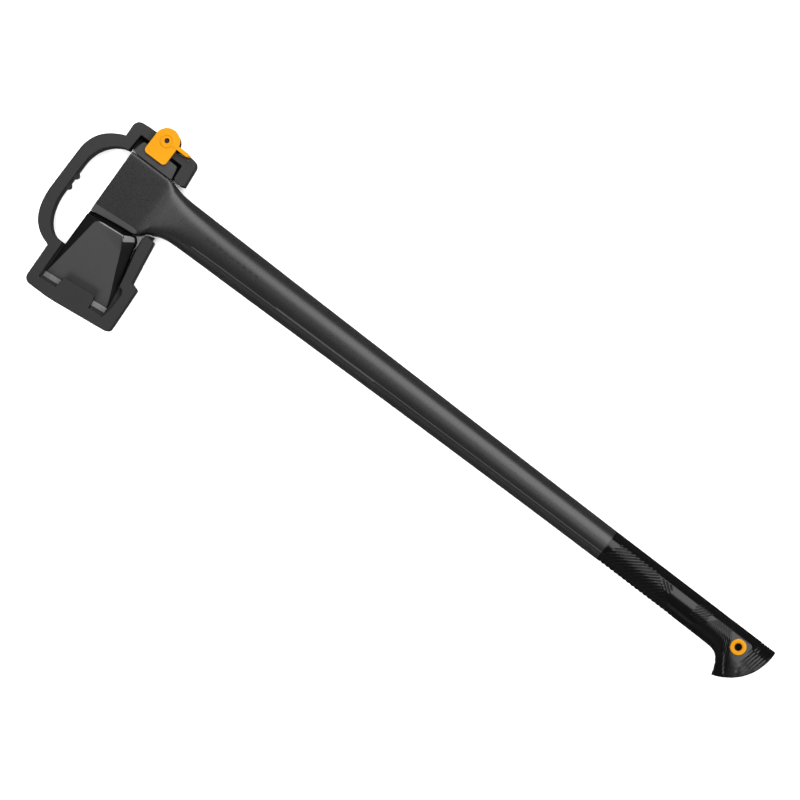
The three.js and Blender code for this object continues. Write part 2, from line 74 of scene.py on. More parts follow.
def make_camera():
    """A long lens straight above the maul, rolled so that the handle slopes down to the right."""
    data = bpy.data.cameras.new("camera")
    data.sensor_width = 36
    data.lens = data.sensor_width * CAMERA_DISTANCE / VIEW_WIDTH
    data.clip_end = 30
    camera = bpy.data.objects.new("camera", data)
    camera.location = TO_ROW @ CAMERA_TARGET + Vector((0, 0, CAMERA_DISTANCE))
    camera.rotation_euler = (0, 0, CAMERA_ROLL)
    bpy.context.scene.collection.objects.link(camera)
    bpy.context.scene.camera = camera


def make_softbox(name, place, target, size, radiance, lit):
    """A soft area light of that radiance that lights only the objects given."""
    data = bpy.data.lights.new(name, "AREA")
    data.shape = "RECTANGLE"
    data.size, data.size_y = size
    data.energy = radiance * math.pi * size[0] * size[1]
    light = bpy.data.objects.new(name, data)
    light.location = place
    light.rotation_euler = (Vector(target) - Vector(place)).to_track_quat("-Z", "Y").to_euler()
    light.visible_camera = False
    bpy.context.scene.collection.objects.link(light)
    receivers = bpy.data.collections.new(name + "_receivers")
    for each in lit:
        receivers.objects.link(each)
    light.light_linking.receiver_collection = receivers


def make_lights(floor, pieces, head):
    """Lamps for the maul, and brighter ones that only light the floor."""
    world = bpy.data.worlds.new("studio")
    world.use_nodes = True
    background = world.node_tree.nodes["Background"]
    background.inputs["Color"].default_value = (1, 1, 1, 1)
    background.inputs["Strength"].default_value = WORLD_STRENGTH
    bpy.context.scene.world = world
    for name, place, target, size, radiance, lit in (
        ("key", (0.7, 0.98, 2.7), (0.1, 0, 0), (3.0, 1.8), 4.6, pieces),
        ("front_fill", (-0.3, -2.6, 1.6), (0, 0, 0), (3.0, 1.0), 0.5, pieces),
        ("head_fill", (-1.0, 0.5, 1.0), (-0.42, 0, 0), (0.8, 0.8), 3.0, pieces),
        ("edge_light", (-0.45, -1.6, 2.0), (-0.4, 0, 0), (1.2, 0.8), 2.6, [head]),
    ):
        make_softbox(name, place, target, size, radiance, lit)
    for name, place, size, radiance in (
        ("backdrop_near", (-0.45, 0, 1.3), (0.9, 1), 8.0),
        ("backdrop_butt", (3.2, 0, 3.5), (2.6, 4), 6.0),
        ("backdrop_head", (-2.3, 0, 3.5), (2.6, 4), 6.0),
        ("backdrop_poll", (0.3, 2.6, 3.5), (4, 2.4), 6.0),
        ("backdrop_edge", (0.3, -2.6, 3.5), (4, 2.4), 6.0),
    ):
        below = (place[0], place[1] + OFF_AXIS, 0)
        make_softbox(name, place, below, size, radiance, [floor])


def make_floor():
    """A pale floor tipped by about a degree, so that the maul lies on its three lowest points."""
    ring_low, ring_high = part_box("eyelet_back_ring")
    latch_low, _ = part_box("latch")
    shoulder = TO_ROW @ LOW_SHOULDER
    butt = Vector(((ring_low.x + ring_high.x) / 2, (ring_low.y + ring_high.y) / 2, ring_low.z))
    catch = Vector((TO_ROW @ PIVOT).to_2d().to_3d()) + Vector((0, 0, latch_low.z))
    normal = (butt - shoulder).cross(catch - shoulder).normalized()
    corners = []
    for right, back in ((-1, -1), (1, -1), (1, 1), (-1, 1)):
        x, y = right * FLOOR_HALF, back * FLOOR_HALF
        fall = (normal.x * (x - shoulder.x) + normal.y * (y - shoulder.y)) / normal.z
        corners.append((x, y, shoulder.z - fall - FLOOR_GAP))
    mesh = bpy.data.meshes.new("floor")
    mesh.from_pydata(corners, [], [(0, 1, 2, 3)])
    floor = bpy.data.objects.new("floor", mesh)
    bpy.context.scene.collection.objects.link(floor)
    floor.data.materials.append(plain_floor())
    floor.visible_glossy = False
    return floor


# ---------------------------------------------------------------- materials


class Shader:
    """A Principled material with helpers for its procedural inputs."""

    def __init__(self, name, **settings):
        self.material = bpy.data.materials.new(name)
        self.material.use_nodes = True
        self.tree = self.material.node_tree
        self.bsdf = self.tree.nodes["Principled BSDF"]
        for socket, value in settings.items():
            self.bsdf.inputs[socket.replace("_", " ")].default_value = value
        self.coords = self.tree.nodes.new("ShaderNodeTexCoord").outputs["Object"]

    def node(self, kind, inputs=(), **settings):
        made = self.tree.nodes.new("ShaderNode" + kind)
        for key, value in settings.items():
            setattr(made, key, value)
        for key, value in dict(inputs).items():
            if isinstance(value, bpy.types.NodeSocket):
                self.tree.links.new(value, made.inputs[key])
            else:
                made.inputs[key].default_value = value
        return made

    def stretched(self, scale):
        return self.node("Mapping", {"Vector": self.coords, "Scale": scale}).outputs["Vector"]

    def noise(self, scale, detail=4.0, roughness=0.55, vector=None):
        inputs = {
            "Vector": vector or self.coords,
            "Scale": scale,
            "Detail": detail,
            "Roughness": roughness,
        }
        return self.node("TexNoise", inputs).outputs["Fac"]

    def ranged(self, value, low, high, start=0.3, end=0.7):
        inputs = {"Value": value, "From Min": start, "From Max": end, "To Min": low, "To Max": high}
        return self.node("MapRange", inputs).outputs["Result"]

    def mixed(self, factor, first, second):
        mix = self.node("Mix", data_type="RGBA")
        sockets = {"Factor": factor, "A": first, "B": second}
        for socket in mix.inputs:
            if socket.name in sockets and socket.enabled:
                value = sockets[socket.name]
                if isinstance(value, bpy.types.NodeSocket):
                    self.tree.links.new(value, socket)
                else:
                    socket.default_value = value
        return next(s for s in mix.outputs if s.enabled)

    def bumped(self, *layers):
        """Layers of (height, strength, distance in metres), the last on top."""
        normal = None
        for height, strength, distance in layers:
            inputs = {"Height": height, "Strength": strength, "Distance": distance}
            if normal:
                inputs["Normal"] = normal
            normal = self.node("Bump", inputs).outputs["Normal"]
        self.set("Normal", normal)

    def set(self, socket, value):
        self.tree.links.new(value, self.bsdf.inputs[socket])


def grey(value, tint=(1, 1, 1)):
    return (value * tint[0], value * tint[1], value * tint[2], 1)


def plain_floor():
    shader = Shader("pale_floor", Roughness=0.9, Specular_IOR_Level=0.1)
    patches = shader.ranged(shader.noise(1.5), 0, 1)
    shader.set("Base Color", shader.mixed(patches, grey(0.9), grey(0.93)))
    return shader.material


def moulded(name, dark, light, rough, grain, tint=(1, 1, 1), depth=0.00005, level=0.5):
    """Moulded plastic with a fine etched grain and faint flow patches."""
    shader = Shader(name, Specular_IOR_Level=level)
    patches = shader.noise(28, detail=5)
    speckle = shader.noise(grain, detail=2)
    blend = shader.ranged(patches, 0, 1)
    shader.set("Base Color", shader.mixed(blend, grey(dark, tint), grey(light, tint)))
    shader.set("Roughness", shader.ranged(speckle, rough - 0.05, rough + 0.06))
    shader.bumped((shader.noise(60, detail=3), 0.12, 0.0003), (speckle, 0.35, depth))
    return shader.material


def coated_steel(name, dark, light, metal, rough, level=0.5):
    """Satin coating over a forging."""
    shader = Shader(name, Metallic=metal, Specular_IOR_Level=level)
    patches = shader.noise(22, detail=6, roughness=0.6)
    grain = shader.noise(700, detail=3)
    pits = shader.noise(160, roughness=0.65)
    shader.set("Base Color", shader.mixed(shader.ranged(patches, 0, 1), grey(dark), grey(light)))
    shader.set("Roughness", shader.ranged(patches, rough - 0.05, rough + 0.07))
    shader.bumped((pits, 0.15, 0.0004), (grain, 0.25, 0.00006))
    return shader.material


def ground_steel():
    """Bare steel, ground across the edge in fine parallel lines."""
    shader = Shader("ground_steel", Metallic=0.6)
    lines = shader.noise(1, roughness=0.7, vector=shader.stretched((2600, 90, 90)))
    shader.set("Base Color", shader.mixed(shader.ranged(lines, 0, 1), grey(0.5), grey(0.7)))
    shader.set("Roughness", shader.ranged(lines, 0.35, 0.5))
    shader.bumped((lines, 0.2, 0.00004))
    return shader.material


def plain_steel():
    """Dark drawn steel, its lines running along the pin."""
    shader = Shader("plain_steel", Metallic=0.3)
    lines = shader.noise(1, detail=3, roughness=0.6, vector=shader.stretched((1800, 1800, 120)))
    shader.set("Base Color", shader.mixed(shader.ranged(lines, 0, 1), grey(0.012), grey(0.02)))
    shader.set("Roughness", shader.ranged(lines, 0.3, 0.45))
    shader.bumped((lines, 0.2, 0.00004))
    return shader.material


def amber_plastic():
    """Bright orange-yellow moulded plastic."""
    shader = Shader("amber_plastic", Specular_IOR_Level=0.15)
    patches = shader.noise(45)
    speckle = shader.noise(1500, detail=2)
    first, second = (0.93, 0.38, 0.004, 1), (0.97, 0.41, 0.005, 1)
    shader.set("Base Color", shader.mixed(shader.ranged(patches, 0, 1), first, second))
    shader.set("Roughness", shader.ranged(speckle, 0.34, 0.44))
    shader.bumped((shader.noise(90, detail=3), 0.1, 0.0003), (speckle, 0.2, 0.00004))
    return shader.material


# ---------------------------------------------------------------- outlines and solids

SHARP_BELOW = 0.05
LEAST_RADIUS = 0.6
WELD = 1e-4
BOOLEAN_WELD = 2e-3
THROUGH = 30

def rounded(corners, step=0.7, like=None):
    """The outline through corners (x, y, radius), each corner with a radius rounded by an arc.

    Another list's radii set how many points each arc has, so that two outlines match.
    """
    points = []
    radii = [corner[2] if len(corner) > 2 else 0 for corner in like or corners]
    for i, corner in enumerate(corners):
        at = Vector(corner[:2])
        radius = corner[2] if len(corner) > 2 else 0
        if radius < SHARP_BELOW:
            points.append(at)
            continue
        back = (Vector(corners[i - 1][:2]) - at).normalized()
        on = (Vector(corners[(i + 1) % len(corners)][:2]) - at).normalized()
        half = math.acos(max(-1, min(1, back.dot(on)))) / 2
        centre = at + (back + on).normalized() * (radius / math.sin(half))
        start = at + back * (radius / math.tan(half)) - centre
        end = at + on * (radius / math.tan(half)) - centre
        first = math.atan2(start.y, start.x)
        turn = math.remainder(math.atan2(end.y, end.x) - first, 2 * math.pi)
        steps = max(3, math.ceil(abs(turn) * radii[i] / step))
        for k in range(steps + 1):
            angle = first + turn * k / steps
            points.append(centre + radius * Vector((math.cos(angle), math.sin(angle))))
    return points


def inset(corners, distance):
    """Anticlockwise corners moved inwards, their arcs following."""
    moved = []
    for i, (x, y, radius) in enumerate(corners):
        before = Vector(corners[i - 1][:2])
        after = Vector(corners[(i + 1) % len(corners)][:2])
        at = Vector((x, y))
        along, on = (at - before).normalized(), (after - at).normalized()
        normal = Vector((-along.y - on.y, along.x + on.x)).normalized()
        reach = distance / (normal.x * -along.y + normal.y * along.x)
        convex = along.x * on.y - along.y * on.x > 0
        kept = max(radius + (-distance if convex else distance), LEAST_RADIUS) if radius else 0
        moved.append((x + normal.x * reach, y + normal.y * reach, kept))
    return moved


def bezier(start, first, second, end, steps):
    """Sharp corners along a cubic curve."""
    points = []
    for k in range(steps + 1):
        t = k / steps
        u = 1 - t
        weights = (u**3, 3 * u * u * t, 3 * u * t * t, t**3)
        x = sum(w * p[0] for w, p in zip(weights, (start, first, second, end)))
        y = sum(w * p[1] for w, p in zip(weights, (start, first, second, end)))
        points.append((x, y, 0))
    return points


def mesh_of(vertices, faces):
    """A mesh with its touching points merged and its faces pointing out."""
    mesh = bpy.data.meshes.new("solid")
    mesh.from_pydata([tuple(v) for v in vertices], [], faces)
    bm = bmesh.new()
    bm.from_mesh(mesh)
    bmesh.ops.remove_doubles(bm, verts=bm.verts, dist=WELD)
    bmesh.ops.recalc_face_normals(bm, faces=bm.faces)
    bm.to_mesh(mesh)
    bm.free()
    return mesh


def slab(points, low, high):
    """An outline pulled through Z from low to high."""
    count = len(points)
    vertices = [(p[0], p[1], z) for z in (low, high) for p in points]
    faces = [tuple(reversed(range(count))), tuple(range(count, 2 * count))]
    for k in range(count):
        j = (k + 1) % count
        faces.append((k, j, count + j, count + k))
    return mesh_of(vertices, faces)


def rounded_slab(corners, low, high, radius=0.6):
    """An outline pulled through Z, its edge at the high end rounded over."""
    rings = [[(*p, low) for p in rounded(corners)]]
    for degrees in (0, 30, 60, 90):
        angle = math.radians(degrees)
        moved = inset(corners, radius * (1 - math.cos(angle)))
        z = high - math.copysign(radius, high - low) * (1 - math.sin(angle))
        rings.append([(*p, z) for p in rounded(moved, like=corners)])
    return loft(rings)


def block(left, right, bottom, top, low, high):
    return slab([(left, bottom), (right, bottom), (right, top), (left, top)], low, high)


def disc(centre, radius, low, high, sides=72):
    points = []
    for k in range(sides):
        angle = 2 * math.pi * k / sides
        points.append((centre.x + radius * math.cos(angle), centre.y + radius * math.sin(angle)))
    return slab(points, low, high)


def loft(rings, strips=False):
    """A closed skin through rings of equally many points, with flat or ruled caps.

    Ruled caps run in strips across Z between each point and its mirror image.
    """
    size = len(rings[0])
    vertices = [p for ring in rings for p in ring]
    last = len(vertices) - size
    if strips:
        faces = []
        for k in range(size // 2):
            cap = (k, k + 1, size - k - 1, (size - k) % size)
            faces.append(cap)
            faces.append([last + corner for corner in reversed(cap)])
        faces = [tuple(dict.fromkeys(face)) for face in faces]
    else:
        faces = [tuple(range(size)), tuple(reversed(range(last, last + size)))]
    for r in range(len(rings) - 1):
        for k in range(size):
            j = (k + 1) % size
            faces.append((r * size + k, r * size + size + k, r * size + size + j, r * size + j))
    return mesh_of(vertices, faces)


def hull(points):
    """The convex solid round some points."""
    bm = bmesh.new()
    for point in points:
        bm.verts.new(point)
    made = bmesh.ops.convex_hull(bm, input=bm.verts)
    spare = [v for v in made["geom_interior"] if isinstance(v, bmesh.types.BMVert)]
    bmesh.ops.delete(bm, geom=spare, context="VERTS")
    mesh = bpy.data.meshes.new("solid")
    bm.to_mesh(mesh)
    bm.free()
    return mesh


def lathe(profile, centre, sides=96):
    """A ring about Z from a closed profile of (radius, height)."""
    vertices, faces = [], []
    count = len(profile)
    for s in range(sides):
        angle = 2 * math.pi * s / sides
        for radius, height in profile:
            x, y = centre.x + radius * math.cos(angle), centre.y + radius * math.sin(angle)
            vertices.append((x, y, height))
    for s in range(sides):
        t = (s + 1) % sides
        for k in range(count):
            j = (k + 1) % count
            faces.append((s * count + k, t * count + k, t * count + j, s * count + j))
    return mesh_of(vertices, faces)


def combined(operation, first, *others):
    """One mesh after a boolean with each of the others in turn."""
    for other in others:
        base = bpy.data.objects.new("base", first)
        tool = bpy.data.objects.new("tool", other)
        for each in (base, tool):
            bpy.context.scene.collection.objects.link(each)
        modifier = base.modifiers.new("boolean", "BOOLEAN")
        modifier.operation = operation
        modifier.solver = "EXACT"
        modifier.object = tool
        graph = bpy.context.evaluated_depsgraph_get()
        result = bpy.data.meshes.new_from_object(base.evaluated_get(graph))
        for each in (base, tool):
            bpy.data.objects.remove(each)
        bpy.data.meshes.remove(first)
        bpy.data.meshes.remove(other)
        first = result
    return first


def joined(first, *others):
    return combined("UNION", first, *others)


def cut(first, *others):
    return combined("DIFFERENCE", first, *others)


def flattened(mesh, angle=0.4):
    """Merges coplanar faces, so that bevels run cleanly."""
    bm = bmesh.new()
    bm.from_mesh(mesh)
    bmesh.ops.remove_doubles(bm, verts=bm.verts, dist=BOOLEAN_WELD)
    bmesh.ops.dissolve_limit(
        bm, angle_limit=math.radians(angle), verts=bm.verts, edges=bm.edges, delimit={"NORMAL"}
    )
    bm.to_mesh(mesh)
    bm.free()
    return mesh


def piece(name, mesh, body, node, slot, *materials, bevel=0.0, smooth=32, weighted=False):
    """Places a mesh in the row frame as a finished piece of the maul."""
    mesh.name = name
    mesh.transform(TO_ROW)
    mesh.materials.clear()
    for material in materials:
        mesh.materials.append(material)
    made = bpy.data.objects.new(name, mesh)
    bpy.context.scene.collection.objects.link(made)
    mesh.shade_smooth()
    mesh.set_sharp_from_angle(angle=math.radians(smooth))
    if bevel:
        modifier = made.modifiers.new("bevel", "BEVEL")
        modifier.width = bevel * MM
        modifier.segments = 3
        modifier.limit_method = "ANGLE"
        modifier.angle_limit = math.radians(30)
        modifier.use_clamp_overlap = True
        modifier.harden_normals = True
    if weighted:
        made.modifiers.new("weighted", "WEIGHTED_NORMAL").keep_sharp = True
    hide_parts(node)
    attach(made, body)
    return made


def smooth_rows(rows, places):
    """Rows at new first-column places, each other column a monotone cubic through the rows."""
    table = np.array(rows, float)
    x = table[:, 0]
    places = np.asarray(places, float)
    steps = np.diff(x)
    out = [places]
    for column in table.T[1:]:
        slopes = np.diff(column) / steps
        tangents = np.zeros(len(x))
        tangents[0], tangents[-1] = slopes[0], slopes[-1]
        for i in range(1, len(x) - 1):
            a, b = slopes[i - 1], slopes[i]
            if a * b > 0:
                p, q = 2 * steps[i] + steps[i - 1], steps[i] + 2 * steps[i - 1]
                tangents[i] = (p + q) / (p / a + q / b)
        k = np.clip(np.searchsorted(x, places, side="right") - 1, 0, len(x) - 2)
        t = (places - x[k]) / steps[k]
        value = (
            (1 + 2 * t) * (1 - t) ** 2 * column[k]
            + t * (1 - t) ** 2 * steps[k] * tangents[k]
            + t * t * (3 - 2 * t) * column[k + 1]
            + t * t * (t - 1) * steps[k] * tangents[k + 1]
        )
        out.append(value)
    return np.stack(out, 1)


# ---------------------------------------------------------------- steel head

EDGE_Y = -141.5
EDGE_SLOPE = 0.095
POLL_HALF_DEPTH = 22
BODY_HALF_DEPTH = 9
TANG_LEFT, TANG_RIGHT = 8, 46
TANG_BOTTOM, TANG_TOP = -62, 34
TANG_HALF_DEPTH = 12
EYE_BOTTOM, EYE_TOP = -24, 14
EYE_HALF_DEPTH = 7
EYE_FROM, EYE_TO = 3, 51
EYE_RADIUS = 5

GRIND_HEIGHT = 6.0
POLL_FROM = 30
WING_X, WING_Y = (47, 66), (-58, -43)
CORE_HALF_DEPTH, CORE_FROM = 14, -57
SHOULDER_X, SHOULDER_FROM = (16, 51), 84.6

# Distance from the edge, then across: left side, ramp's left and right, right side, and the half
# depths of the ramp and of the sides.
WEDGE_SECTIONS = [
    (0, 3, 3.3, 82.9, 83.3, 0.3, 0.2),
    (6, 2.9, 3.7, 82.3, 83.1, 2.6, 2.2),
    (22, 2.6, 6.3, 76.8, 80.9, 7, 3.6),
    (44, 2.3, 9.8, 67.7, 76, 13.8, 6),
    (66, 2.1, 13.1, 59.1, 69.4, 21.4, 8.6),
    (80, 2, 15.2, 53.6, 65.2, 26.7, 10.4),
    (83, 2, 16.6, 52.4, 64.4, 27.8, 10.7),
    (84.7, 2, 18.5, 51.6, 63.9, 28.5, 10.9),
    (85.6, 2, 21.4, 51, 63.6, 28.85, 11),
    (86, 2, 25, 50.3, 63.4, 29, 11),
]


def edge_height(distance, x):
    """Y at some distance behind the cutting edge, which slopes along the handle."""
    return EDGE_Y + distance + EDGE_SLOPE * x


def wedge(clearance=0.0):
    """The blade: a ramp on each side between narrower flanks."""
    rings = []
    for i, row in enumerate(WEDGE_SECTIONS):
        distance, side_left, ramp_left, ramp_right, side_right, ramp, side = row
        from_edge = distance - clearance if i == 0 else distance
        half = [
            (side_left - clearance, side + clearance),
            (ramp_left, ramp + clearance),
            (ramp_right, ramp + clearance),
            (side_right + clearance, side + clearance),
        ]
        ring = half + [(x, -z) for x, z in reversed(half)]
        rings.append([(x, edge_height(from_edge, x), z) for x, z in ring])
    return loft(rings)


def shoulder_wing():
    """The sloping faces that run from the ramp's end down to the neck."""
    corners = [
        (49.5, -51.3, 28.8),
        (54.3, -57, 26.9),
        (57.5, -46.8, 24.5),
        (61.2, -45.7, 21.5),
        (64.4, -49.4, 18.5),
        (58.6, -70.2, 21),
        (68, -66, 9),
        (63, -48, 9),
    ]
    return hull([(x, y, side * z) for x, y, z in corners for side in (1, -1)])


def poll_corners():
    return [
        (1.5, 30.9, 0.8),
        (54.6, 30.9, 0.8),
        (52.6, 41.5, 6),
        (51, 46.5, 2),
        (5.3, 46.5, 2),
        (3.6, 41.5, 6),
    ]


def poll():
    return slab(rounded(poll_corners()), -POLL_HALF_DEPTH, POLL_HALF_DEPTH)


def tang(clearance=0.0):
    """The block in the handle that joins blade and poll; the handle fills its hole along X."""
    half = TANG_HALF_DEPTH + clearance
    left, right = TANG_LEFT - clearance, TANG_RIGHT + clearance
    body = block(left, right, TANG_BOTTOM, TANG_TOP, -half, half)
    low, high, eye_half = EYE_BOTTOM + clearance, EYE_TOP - clearance, EYE_HALF_DEPTH - clearance
    eye = [
        (low, -eye_half, EYE_RADIUS),
        (high, -eye_half, EYE_RADIUS),
        (high, eye_half, EYE_RADIUS),
        (low, eye_half, EYE_RADIUS),
    ]
    hole = slab(rounded(eye), EYE_FROM, EYE_TO)
    hole.transform(Matrix(((0, 0, 1, 0), (1, 0, 0, 0), (0, 1, 0, 0), (0, 0, 0, 1))))
    return cut(body, hole)


def head_body():
    """The web between the blade's back and the handle."""
    corners = [
        (2.1, -71, 0),
        (64, -62, 0),
        (61.2, -43.4, 1),
        (52, -43.65, 0),
        (26, -46.75, 0),
        (2.5, -50.55, 0.3),
    ]
    return slab(rounded(corners), -BODY_HALF_DEPTH, BODY_HALF_DEPTH)


# Coated and ground are real finishes; the other three paint light: painted shade on flanks and wing
# sides, painted shade in the recessed core, and a painted highlight on the shoulder rim and wing
# facet.
COATED, GROUND, PAINTED_SHADE, RECESS_PAINTED_SHADE, PAINTED_HIGHLIGHT = range(5)


def head_finish_or_painted_light(middle, normal):
    """Which material a face of the head gets: the real coating or ground steel, or painted light,
    that is a dark coat as painted shade on steep flanks, wing sides and the recessed core, and a
    bright coat as painted highlight on the shoulder rim and wing facet.
    """
    distance = middle.y - edge_height(0, middle.x)
    in_core = abs(middle.z) < CORE_HALF_DEPTH
    beside_neck = WING_X[0] < middle.x < WING_X[1] and WING_Y[0] < middle.y < WING_Y[1]
    on_wing = beside_neck and abs(middle.z) > CORE_HALF_DEPTH
    if distance < GRIND_HEIGHT + 0.05:
        return GROUND
    if middle.y > POLL_FROM:
        return COATED
    # On the wing, the facet facing up and right gets a bright coat as a painted highlight, and its
    # other sides get painted shade.
    if on_wing and abs(normal.x) > 0.12:
        return PAINTED_HIGHLIGHT if normal.x > 0.3 and abs(normal.z) > 0.75 else PAINTED_SHADE
    # The recessed core between the wrap and the ramp gets a near-black coat, painted shade.
    if in_core and middle.y > CORE_FROM:
        return RECESS_PAINTED_SHADE
    # The shoulder's top rim gets a bright coat as a painted highlight.
    on_shoulder = distance > SHOULDER_FROM and SHOULDER_X[0] < middle.x < SHOULDER_X[1]
    if on_shoulder and abs(normal.z) > 0.15:
        return PAINTED_HIGHLIGHT
    # Steep flanks facing along X get a darker copy of the coat, painted shade.
    return PAINTED_SHADE if abs(normal.x) > 0.45 else COATED


def make_head(*finishes_and_painted_light):
    mesh = joined(wedge(), shoulder_wing(), head_body(), tang(), poll())
    flattened(mesh)
    made = piece("head_forging", mesh, MAUL, "axe_head", "head_steel", *finishes_and_painted_light, bevel=1.1)
    back = TO_ROW.inverted()
    # Each face gets a real finish or painted shade or a painted highlight, depending on its place
    # and facing.
    for face in made.data.polygons:
        face.material_index = head_finish_or_painted_light(back @ face.center, face.normal)
    return made


# ---------------------------------------------------------------- handle and grip

TOP_LEAN = 0.027
HANDLE_START = 2.1
GRIP_START = 690
TUBE_END = 898
TUBE_WALL = 3.4
SHAFT_WALL = TUBE_WALL + 1
TUBE_OVERLAP = 0.2
PLUG_START = 852
CHAMFER_Y, CHAMFER_Z = -41.4, 24
CHAMFER_SLOPE, CHAMFER_LEAN = 0.35, 0.08
SAME_DIRECTION = 0.9995
MARKS, MARK_START, MARK_PITCH = 9, 124, 8.4
MARK_ROOT, MARK_RISE = 15, 0.3

# Place along the handle, its top and bottom edges, half its depth, and how square it is.
HANDLE_SECTIONS = [
    (HANDLE_START, 30.3, -50.2, 24, 26),
    (26, 30.3, -46.4, 24, 26),
    (52, 30.3, -43.3, 24, 24),
    (58, 29.6, -42.9, 23.8, 16),
    (62, 28.6, -41.4, 23.4, 11),
    (65.5, 27.6, -37.5, 23, 8.5),
    (67, 27.2, -34.8, 22.8, 7),
    (70, 26.7, -33.2, 22.4, 6.3),
    (74, 26.1, -31.6, 21.8, 5.5),
    (80, 25.5, -29.1, 21, 4.6),
    (86, 25.2, -27.1, 20.2, 3.9),
    (93, 25, -26, 19.4, 3.4),
    (105, 24.9, -25.6, 18.4, 2.9),
    (125, 24.65, -25.2, 17.5, 2.6),
    (160, 24.25, -24.8, 17, 2.4),
    (240, 23.3, -23.8, 16.5, 2.3),
    (320, 22.5, -22.75, 16.1, 2.3),
    (400, 21.7, -21.6, 15.7, 2.3),
    (520, 20.5, -20.4, 15.2, 2.3),
    (610, 19.7, -19.7, 14.8, 2.3),
    (GRIP_START - 0.3, 19.1, -19.5, 14.4, 2.3),
]
TUBE_SECTIONS = [
    (GRIP_START - 0.3, 15.6, -16.4, 11.7, 2.3),
    (780, 15.2, -16.6, 11.4, 2.3),
    (TUBE_END, 14.8, -16.6, 11.2, 2.4),
]

# Place along the top edge, then the bottom edge's place and height, how far the section bows
# towards the butt, half its depth, and how square it is.
GRIP_SECTIONS = [
    (690, 690, -19.5, 0, 14.4, 2.3),
    (780, 780, -19.75, 0, 14.1, 2.3),
    (828, 826, -20.4, 0, 14, 2.35),
    (846, 841, -20.7, 0.3, 14, 2.4),
    (857, 850, -21.1, 0.8, 14, 2.5),
    (867, 856, -22.5, 1.8, 14, 2.6),
    (876, 861.2, -26, 3.1, 14, 2.8),
    (885, 865.2, -31.2, 4.8, 14, 3),
    (894, 868, -37.2, 7.1, 14, 3.2),
    (903, 869.8, -42.4, 9.7, 14, 3.4),
    (911.5, 870.7, -44.8, 12, 14, 3.6),
    (913.8, 870.9, -45.2, 12.7, 13.4, 3.6),
]
EYELET = Vector((875.6, -2, 0))
EYELET_HOLE = 4.3
EYELET_BARREL = 6.2
EYELET_FLANGE = 9.2
EYELET_FACE = 15.2
EYELET_THICK = 2.2
EYELET_GROOVE = 1.0
CLEAR = 0.3

# Depth and pitch of the V grooves in each patch of the grip, and half a groove's width as a share
# of the pitch.
PALM_GROOVES = (0.9, 5.9)
CHEVRON_GROOVES = (0.7, 5.2)
SLANT_GROOVES = (0.7, 4.0)
FINE_GROOVES = (0.4, 2.3)
BUTT_GROOVES = (0.9, 3.6)
FAINT_GROOVES = (0.14, 2.1)
GROOVE_HALF_WIDTH = 0.27


def section(squareness, points):
    """Superellipse: how far across and how deep each point of a section lies, from -1 to 1."""
    angles = np.linspace(0, 2 * np.pi, points, endpoint=False)

    def shaped(value):
        return np.sign(value) * np.abs(value) ** (2 / squareness)

    return shaped(np.cos(angles)), shaped(np.sin(angles))


def handle_ring(row, wall=0.0, points=128):
    """One section of the handle, drawn in by a wall; the first ones lean with the head's top."""
    x, top, bottom, half_depth, squareness = row
    top, bottom, half_depth = top - wall, bottom + wall, half_depth - wall
    across, deep = section(squareness, points)
    y = (top + bottom) / 2 + (top - bottom) / 2 * across
    lean = TOP_LEAN * max(0.0, 1 - x / 50)
    return np.stack([x - lean * y, y, half_depth * deep], 1)


def bisected(mesh, point, normal):
    """The mesh without what lies on the normal's side of a plane, the cut filled."""
    bm = bmesh.new()
    bm.from_mesh(mesh)
    everything = bm.verts[:] + bm.edges[:] + bm.faces[:]
    done = bmesh.ops.bisect_plane(
        bm, geom=everything, plane_co=point, plane_no=normal, clear_outer=True
    )
    edges = [e for e in done["geom_cut"] if isinstance(e, bmesh.types.BMEdge)]
    bmesh.ops.edgenet_fill(bm, edges=edges)
    bm.to_mesh(mesh)
    bm.free()
    return mesh


def shaft_marks():
    """A generic raised motif on each side of the shaft: a row of leaning bars."""
    marks = []
    for side in (1, -1):
        for k in range(MARKS):
            x = MARK_START + MARK_PITCH * k
            corners = [(x, -3.2, 0.8), (x + 4.4, -3.2, 0.8), (x + 7, 3.4, 0.8), (x + 2.6, 3.4, 0.8)]
            shaft_face = 17.55 - 0.012 * (x - 122)
            low, high = sorted((side * MARK_ROOT, side * (shaft_face + MARK_RISE)))
            marks.append(slab(rounded(corners, 0.3), low, high))
    return marks


def chamfer_normal(side):
    """The direction that the flat along the handle's lower edge faces, in front or behind."""
    return Vector((CHAMFER_LEAN * CHAMFER_SLOPE, -CHAMFER_SLOPE, side)).normalized()


